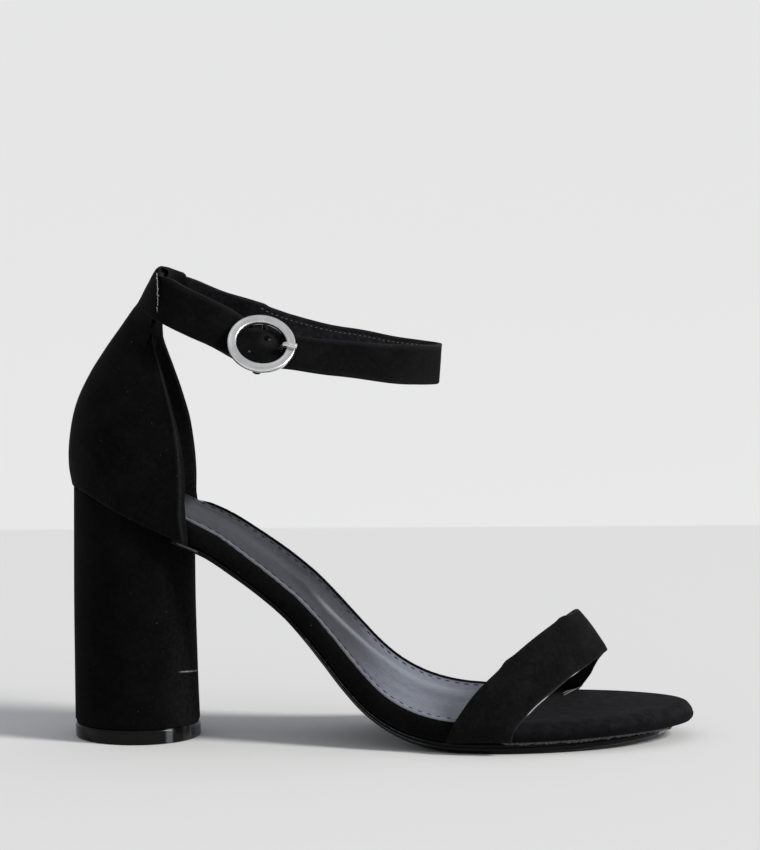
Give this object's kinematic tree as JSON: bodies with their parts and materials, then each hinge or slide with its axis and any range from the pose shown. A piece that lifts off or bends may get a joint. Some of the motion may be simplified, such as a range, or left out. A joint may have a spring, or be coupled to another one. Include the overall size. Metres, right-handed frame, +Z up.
{
  "type": "block heel sandal",
  "caption": "Right ankle-strap sandal on a tall round block heel, with one vamp strap, a closed heel counter and a round buckle on the outer side.",
  "frame": {"origin": "on the floor, under the middle of the shoe's box", "axes": "+X to the toe, +Y to the inner (medial) side of the foot, +Z up"},
  "size_m": [0.2114, 0.0792, 0.1601],
  "materials": {
    "suede": "black faux suede with a short brushed nap",
    "sock": "slate grey with a soft pearl sheen",
    "outsole": "glossy black, lightly worn under the ball",
    "top_piece": "glossy black",
    "buckle": "polished silver"
  },
  "bodies": {
    "root": {"outsole": "outsole", "insole_board": "suede", "sock_lining": "sock", "heel_block": "suede", "top_piece": "top_piece", "counter": "suede", "vamp_strap": "suede", "ankle_strap": "suede", "buckle_frame": "buckle", "buckle_prong": "buckle"}
  },
  "joints": []
}
